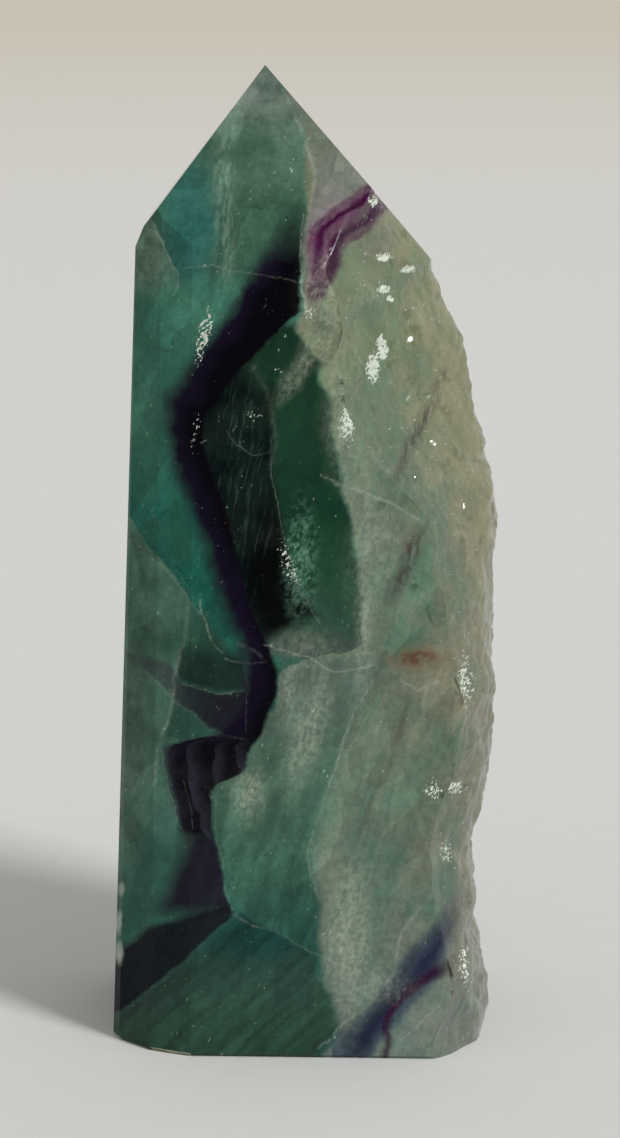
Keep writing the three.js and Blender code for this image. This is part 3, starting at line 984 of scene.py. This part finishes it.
# The sealed sheets. Where the crystal grew purple it is nearly opaque: a thick folded sheet runs
# from the front towards the back, with a thin plum one in the crown and two more at the foot.
# They lie inside the clear green, along the same growth zones.

SEALED_DEPTH = 0.5 * MM  # the least cover of crystal over what is sealed in it
OUTLINE_STEP = 1.4  # the longest side of a sheet's outline, in millimetres
INWARD = 0.06  # the share of the way to the axis that a place moves in one step
STEPS_IN = 60
AXIS_ENDS = (8 * MM, 100 * MM)
RIPPLE_SEED = 1  # without a seed, the vector noise of the ripples starts from the clock
surface = bvhtree.BVHTree.FromObject(stone, bpy.context.evaluated_depsgraph_get())
noise.seed_set(RIPPLE_SEED)


def place_in_stone(x, z, behind):
    """Where a point of the zones' pattern lies in the stone, in metres."""
    z = (z - SINK["at_foot"] * behind) / (1 - SINK["less"] * behind)
    x = (x - SIDESTEP["rate"] * max(behind - SIDESTEP["from"], 0)) * (1 + behind / SPREAD)
    return Vector((x, FRONT["place"] + FRONT["lean"] * z + behind, z)) * MM


def sealed(place):
    """Moves a place towards the axis of the stone until enough crystal covers it."""
    axis = Vector((0, 0, min(max(place.z, AXIS_ENDS[0]), AXIS_ENDS[1])))
    for _ in range(STEPS_IN):
        way_in = axis - place
        in_the_way = surface.ray_cast(place, way_in, way_in.length)[0]
        if in_the_way is None and surface.find_nearest(place)[3] > SEALED_DEPTH:
            break
        place = place.lerp(axis, INWARD)
    return place


def add_sheet(shape, outline, depths, ripple):
    """Adds a closed sheet: an (x, z) outline, drawn back through the stone step by step."""
    flat = shape.verts.layers.float_vector.get("flat") or shape.verts.layers.float_vector.new("flat")
    cap = shape.faces.new([shape.verts.new((x, 0, z)) for x, z in outline])
    for edge in list(cap.edges):
        cuts = int(edge.calc_length() / OUTLINE_STEP)
        if cuts:
            bmesh.ops.subdivide_edges(shape, edges=[edge], cuts=cuts)
    for vert in cap.verts:
        vert[flat] = vert.co
    first = cap
    for behind in depths:
        if behind != depths[0]:
            grown = bmesh.ops.extrude_face_region(shape, geom=[cap, *cap.edges, *cap.verts])
            cap = faces_in(grown)[0]
        for vert in cap.verts:
            x, _, z = vert[flat]
            drift = noise.noise_vector(Vector((x, z, behind * 0.6)) / 5) * ripple
            vert.co = sealed(place_in_stone(x + drift.x, z + drift.z, behind))
    bmesh.ops.triangulate(shape, faces=[first, cap])


def finish_piece(name, shape, material):
    """Makes an object of a shape that is sealed in the stone."""
    bmesh.ops.recalc_face_normals(shape, faces=shape.faces)
    for face in shape.faces:
        face.smooth = True
    mesh = bpy.data.meshes.new(name)
    shape.to_mesh(mesh)
    shape.free()
    mesh.materials.append(material)
    piece = added(name, mesh)
    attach(piece, "root")


def upright_outline(left, right, low, high):
    """Closes two edges of (height, X) points, from the top down, into an (x, z) outline."""
    down = [(x, z) for z, x in left if low <= z <= high]
    up = [(x, z) for z, x in reversed(right) if low <= z <= high]
    return down + up


def level_outline(top, foot, low, high):
    """Closes two edges of (X, height) points, from the left, into an (x, z) outline."""
    return [point for point in [*foot, *reversed(top)] if low <= point[0] <= high]


def threaded_mineral(name, deep, light):
    """A dense mineral sealed in the crystal: deep in colour, with lighter threads along it."""
    s = Shader(name)
    place = s.object_place()
    along = s.vector("MULTIPLY", place, (1.6, 1.6, 0.3))
    threads = s.noise(along, 1.0, 3.0, 0.6)
    mottle = s.noise(place, 4.0, 2.0, 0.5)
    colour = s.over(deep, light, (threads + mottle).ramp(0.9, 1.3))
    return s.finished(s.principled({
        "Base Color": colour, "Roughness": mottle.ramp(0.3, 0.7, 0.25, 0.5), "IOR": FLUORITE_IOR}))


shape = bmesh.new()
add_sheet(shape, upright_outline(BAND_LEFT, BAND_RIGHT, 27, 100), (0.9, 4, 8, 12, 16, 20), 0.5)
finish_piece("purple_sheet", shape, threaded_mineral("purple_crystal", rgb(10, 4, 16), rgb(54, 34, 84)))

shape = bmesh.new()
add_sheet(shape, level_outline(LOW_BAND_TOP, LOW_BAND_FOOT, -23, -8), (0.9, 4, 8, 12), 0.4)
finish_piece("low_sheet", shape, threaded_mineral("smoky_crystal", rgb(12, 10, 18), rgb(40, 36, 58)))

shape = bmesh.new()
add_sheet(shape, upright_outline(PLUM_OUTER, PLUM_INNER, 93, 106), (2, 5, 8, 11), 0.3)
foot_sheet = [(x, z + 1.1) for x, z in FOOT_PLUM[:4]]
foot_sheet += [(x, z - 1.1) for x, z in reversed(FOOT_PLUM[:4])]
add_sheet(shape, foot_sheet, (0.9, 3, 6, 9), 0.3)
finish_piece("plum_sheets", shape, threaded_mineral("plum_crystal", rgb(60, 10, 58), rgb(140, 70, 130)))


# The veils. Cracks that closed again while the crystal grew left thin sheets of tiny bubbles,
# which catch light like frosted glass. They run back from the lines that show on the front.

VEIL_WIDTH = 0.16


def ribbon(path):
    """A thin outline around a line of (x, z) points."""
    half = VEIL_WIDTH / 2
    steep = abs(path[-1][1] - path[0][1]) > abs(path[-1][0] - path[0][0])
    step = (half, 0) if steep else (0, half)
    one = [(x - step[0], z - step[1]) for x, z in path]
    other = [(x + step[0], z + step[1]) for x, z in reversed(path)]
    return one + other


def bubble_veil(name):
    """A sheet of fine bubbles: white and patchy, so the stone behind it shows through."""
    s = Shader(name)
    place = s.object_place()
    wisps = s.noise(place, 2.4, 3.0, 0.6)
    bubbles = s.noise(place, 0.4, 2.0, 0.6)
    return s.finished(s.principled({
        "Base Color": s.over(rgb(176, 200, 186), rgb(236, 240, 232), bubbles.ramp(0.4, 0.6)),
        "Roughness": 0.35, "IOR": 1.2, "Alpha": (wisps + bubbles).ramp(0.9, 1.2, 0.1, 0.8)}))


# Each veil's line of (x, z) points, and the depths that it passes on its way back
VEILS = [
    (RIM[:6], (0.9, 4, 8, 12)),
    ([(x, z) for z, x in COLUMN], (0.9, 3, 6)),
    ([(-14.7, 97), (-10.3, 97.3), (-3.8, 95.9), (-0.8, 95.2)], (1.2, 4, 8)),
    ([(-3.5, 74), (-2.9, 66.8), (-1.5, 60.1), (1.6, 54.6)], (0.9, 3, 6, 9)),
    ([(3.4, 72), (6.9, 70.4), (10.5, 69.2), (13.4, 67.4)], (0.9, 4, 8)),
    ([(-4.8, 51.6), (0.9, 50.4), (3.9, 48.5), (8.6, 49.4)], (0.9, 3, 6)),
    ([(-8.6, 18.4), (-4, 16.2), (2.1, 13), (6.4, 11.6)], (0.9, 4, 8)),
]
shape = bmesh.new()
for line, depths in VEILS:
    add_sheet(shape, ribbon(line), depths, 0.5)
finish_piece("bubble_veils", shape, bubble_veil("bubble_veil"))


# The flecks. Short cracks around the clusters of chips shine from inside: small flat plates of
# air, each turned its own way, just under the polished front.

FLECKS_IN_CLUSTER = 26
FLECK = {"least": 0.1, "most": 0.3, "thick": 0.05, "sides": 6}
FLECK_DEPTHS = (0.8, 2.0)
draw = random.Random(11)
shape = bmesh.new()
for x, z, across, tall, *_ in CHIP_GLINT_CLUSTERS:
    for _ in range(FLECKS_IN_CLUSTER):
        behind = draw.uniform(*FLECK_DEPTHS)
        x_here = x + draw.gauss(0, across * 0.8)
        z_here = z + draw.gauss(0, tall * 0.6)
        turn = Vector([draw.uniform(-1, 1) for _ in range(3)]).to_track_quat("Z", "Y")
        width = draw.uniform(FLECK["least"], FLECK["most"])
        size = Vector((width, width * draw.uniform(0.4, 1.0), 1.0))
        place = Matrix.LocRotScale(sealed(place_in_stone(x_here, z_here, behind)), turn, size * MM)
        bmesh.ops.create_cone(
            shape, cap_ends=True, segments=FLECK["sides"], radius1=1, radius2=0.7,
            depth=FLECK["thick"], matrix=place)


def bright_air(name):
    """Air in a crack: silvery, and rougher in places."""
    s = Shader(name)
    grain = s.noise(s.object_place(), 0.3, 2.0, 0.6)
    return s.finished(s.principled({
        "Base Color": s.over(rgb(214, 232, 224), rgb(255, 255, 250), grain.ramp(0.4, 0.6)),
        "Roughness": grain.ramp(0.3, 0.7, 0.1, 0.4)}))


finish_piece("flecks", shape, bright_air("bright_air"))


# The rust. A pocket of iron-stained clay was caught in the milky stone near the right edge while
# the crystal grew, and is sealed in it.

RUST_PLACE = (14.0, 50.2, 2.0)
RUST_SIZE = Vector((2.6, 0.9, 0.8))

shape = bmesh.new()
bmesh.ops.create_icosphere(shape, subdivisions=4, radius=1)
centre = place_in_stone(*RUST_PLACE)
for vert in shape.verts:
    lump = 1 + 0.3 * noise.noise(vert.co * 1.7) + 0.12 * noise.noise(vert.co * 5)
    vert.co = sealed(centre + Vector(a * b for a, b in zip(vert.co, RUST_SIZE)) * lump * MM)
finish_piece("rust", shape, threaded_mineral("iron_clay", rgb(112, 70, 44), rgb(178, 128, 90)))


# The table, lights and camera. A pale matt table with painted shade that makes it darker and warmer
# with distance, under soft light from the upper right.

TABLE_NEAR = rgb(217, 217, 216)
TABLE_FAR_SHADE = rgb(208, 200, 186)
TABLE_REACH = 6
ROOM_LIGHT = {"Color": rgb(244, 244, 238), "Strength": 0.55}
WINDOW_STRENGTH = 2.1
WINDOW_SPREAD = math.radians(14)
WINDOW_PLACE = Vector((0.72, -0.65, 0.78))

table = added("table", bpy.data.meshes.new("table"))
top = bmesh.new()
bmesh.ops.create_grid(top, x_segments=1, y_segments=1, size=TABLE_REACH)
top.to_mesh(table.data)
top.free()
s = Shader("matt_table")
where = s.node("ShaderNodeTexCoord", {}, (), 3)
distance = s.vector("LENGTH", where, output=1)
grain = s.noise(where, 0.004, 3.0, 0.6)
# Painted shade: the table grows darker and warmer away from the stone
colour = s.over(TABLE_NEAR, TABLE_FAR_SHADE, distance.ramp(0.3, 3.0))
colour = s.scaled(colour, grain.ramp(0.0, 1.0, 0.985, 1.015))
table.data.materials.append(s.finished(s.principled({"Base Color": colour, "Roughness": 0.9})))

world = bpy.data.worlds.new("room")
world.use_nodes = True
for socket, value in ROOM_LIGHT.items():
    world.node_tree.nodes["Background"].inputs[socket].default_value = value
bpy.context.scene.world = world
bpy.context.scene.view_settings.view_transform = "Standard"

lamp = bpy.data.lights.new("window", "SUN")
lamp.energy = WINDOW_STRENGTH
lamp.angle = WINDOW_SPREAD
light = added("window", lamp)
light.rotation_euler = WINDOW_PLACE.to_track_quat("Z", "Y").to_euler()

CAMERA_LENS = 105
CAMERA_RISE = math.radians(12)
CAMERA_DISTANCE = 0.4135
LOOKS_AT = Vector((0.89 * MM, -0.24 * MM, 57.8 * MM))

lens = bpy.data.cameras.new("camera")
lens.lens = CAMERA_LENS
lens.sensor_width = 36
lens.clip_start = 0.01
camera = added("camera", lens)
away = Vector((0, -math.cos(CAMERA_RISE), math.sin(CAMERA_RISE)))
camera.location = LOOKS_AT + CAMERA_DISTANCE * away
camera.rotation_euler = (math.pi / 2 - CAMERA_RISE, 0, 0)
bpy.context.scene.camera = camera
